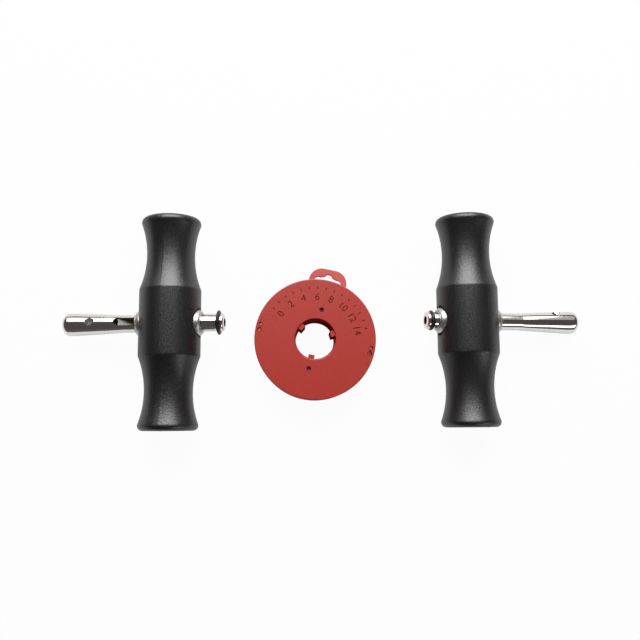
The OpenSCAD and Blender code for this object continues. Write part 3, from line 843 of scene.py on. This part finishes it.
# The outer layer lies turn beside turn on the layers below.
def makeWire():
    half = wire["thick"] / 2
    rise = wire["to"] - wire["from"] - wire["thick"]
    turns = int(rise / wire["thick"])
    bpy.ops.object.select_all(action="DESELECT")
    bpy.ops.mesh.primitive_circle_add(vertices=wire["around"], radius=half, fill_type="NOTHING",
                                      rotation=(math.pi / 2, 0, 0),
                                      location=(wire["drum"] / 2 + half, 0, wire["from"] + half))
    piece = bpy.context.object
    piece.name = "wire_outer_layer_wound"
    bpy.ops.object.transform_apply(location=True, rotation=True, scale=True)
    screwTurn = piece.modifiers.new("wind", "SCREW")
    screwTurn.axis = "Z"
    screwTurn.screw_offset = rise / turns
    screwTurn.iterations = turns
    screwTurn.steps = wire["steps"]
    screwTurn.render_steps = wire["steps"]
    screwTurn.use_merge_vertices = False
    selectOnly(piece)
    bpy.ops.object.modifier_apply(modifier=screwTurn.name)
    bpy.ops.object.mode_set(mode="EDIT")
    bpy.ops.mesh.select_all(action="DESELECT")
    bpy.ops.mesh.select_non_manifold()
    bpy.ops.mesh.edge_face_add()
    bpy.ops.object.mode_set(mode="OBJECT")
    closeMesh(piece, 0.001 * mm)
    smooth(piece, wire["smoothAngle"])
    applyPlace(piece, spoolPlace(spool["turn"]))
    dress(piece, wireSteel, "spool", "wire_outer_layer")


makeWire()
print("wire ready")

# The nodes that the grips and the wire hide keep their own shape.
hidden = {"wire_core": wireSteel}
for side in sides:
    hidden[side + "_sleeve"] = tubeSteel
    hidden[side + "_guide_ring"] = bronze
    hidden[side + "_retaining_clips"] = springSteel
for name, finish in hidden.items():
    nodes[name].data.materials.clear()
    nodes[name].data.materials.append(finish)

# The white paper is lit evenly enough to read as white. Polished steel sees it dimmer.
stage = {
    "floorHalf": 4.0, "floorAt": -0.2 * mm, "whiteShare": 0.96, "mirrorShare": 0.55, "paper": 0.6,
}


def makeFloor():
    bpy.ops.object.select_all(action="DESELECT")
    bpy.ops.mesh.primitive_plane_add(size=2 * stage["floorHalf"], location=(0, 0, stage["floorAt"]))
    floor = bpy.context.object
    floor.name = "floor"
    material, tree = newMaterial("paperSweep")
    path = addNode(tree, "ShaderNodeLightPath")
    seen = addNode(tree, "ShaderNodeMath", {"operation": "MULTIPLY"},
                   {0: path.outputs["Is Camera Ray"], 1: stage["whiteShare"]})
    for other in ("Is Glossy Ray", "Is Transmission Ray"):
        seen = addNode(tree, "ShaderNodeMath", {"operation": "MULTIPLY_ADD", "use_clamp": True},
                       {0: path.outputs[other], 1: stage["mirrorShare"], 2: seen.outputs[0]})
    paper = addNode(tree, "ShaderNodeBsdfDiffuse", None, {"Color": (*[stage["paper"]] * 3, 1)})
    glow = addNode(tree, "ShaderNodeEmission", None, {"Color": (1, 1, 1, 1), "Strength": 1.0})
    mixed = addNode(tree, "ShaderNodeMixShader", None,
                    {0: seen.outputs[0], 1: paper.outputs[0], 2: glow.outputs[0]})
    finishMaterial(tree, mixed)
    floor.data.materials.append(material)


makeFloor()

lamps = {
    "back": {"at": (0.0, 0.91, 0.79), "size": (1.1, 1.06), "watts": 20.5},
    "backWings": {"at": (0.0, 0.93, 0.8), "size": (1.72, 1.08), "watts": 6.6},
    "backEnds": {"at": (0.0, 0.95, 0.82), "size": (2.4, 1.1), "watts": 3.0},
    "frontRight": {"at": (0.7, -0.77, 0.56), "size": (1.0, 0.3), "watts": 2.4},
}


def makeLamps():
    for name, lamp in lamps.items():
        data = bpy.data.lights.new(name, "AREA")
        data.shape = "RECTANGLE"
        data.size, data.size_y = lamp["size"]
        data.energy = lamp["watts"]
        thing = bpy.data.objects.new(name, data)
        bpy.context.scene.collection.objects.link(thing)
        thing.location = lamp["at"]
        thing.rotation_mode = "QUATERNION"
        thing.rotation_quaternion = Vector(lamp["at"]).to_track_quat("Z", "Y")


makeLamps()

# The studio is dark overhead and paler towards the horizon. The camera sees it white.
studio = {"overhead": 0.08, "horizon": 0.12, "darkFrom": 0.6, "tint": "#fff3ee"}


def makeWorld():
    world = bpy.data.worlds.new("studio")
    bpy.context.scene.world = world
    world.use_nodes = True
    tree = world.node_tree
    tree.nodes.clear()
    path = addNode(tree, "ShaderNodeLightPath")
    where = addNode(tree, "ShaderNodeTexCoord")
    parts = addNode(tree, "ShaderNodeSeparateXYZ", None, {0: where.outputs["Generated"]})
    level = addNode(tree, "ShaderNodeMapRange", None, {
        "Value": parts.outputs["Z"], "From Min": 0.0, "From Max": studio["darkFrom"],
        "To Min": studio["horizon"], "To Max": studio["overhead"]})
    dim = addNode(tree, "ShaderNodeBackground", None,
                  {"Color": hexToLinear(studio["tint"]), "Strength": level.outputs[0]})
    pale = addNode(tree, "ShaderNodeBackground", None, {"Color": (1, 1, 1, 1), "Strength": 1.0})
    both = addNode(tree, "ShaderNodeMixShader", None,
                   {0: path.outputs["Is Camera Ray"], 1: dim.outputs[0], 2: pale.outputs[0]})
    addNode(tree, "ShaderNodeOutputWorld", None, {"Surface": both.outputs[0]})


makeWorld()
print("stage ready")
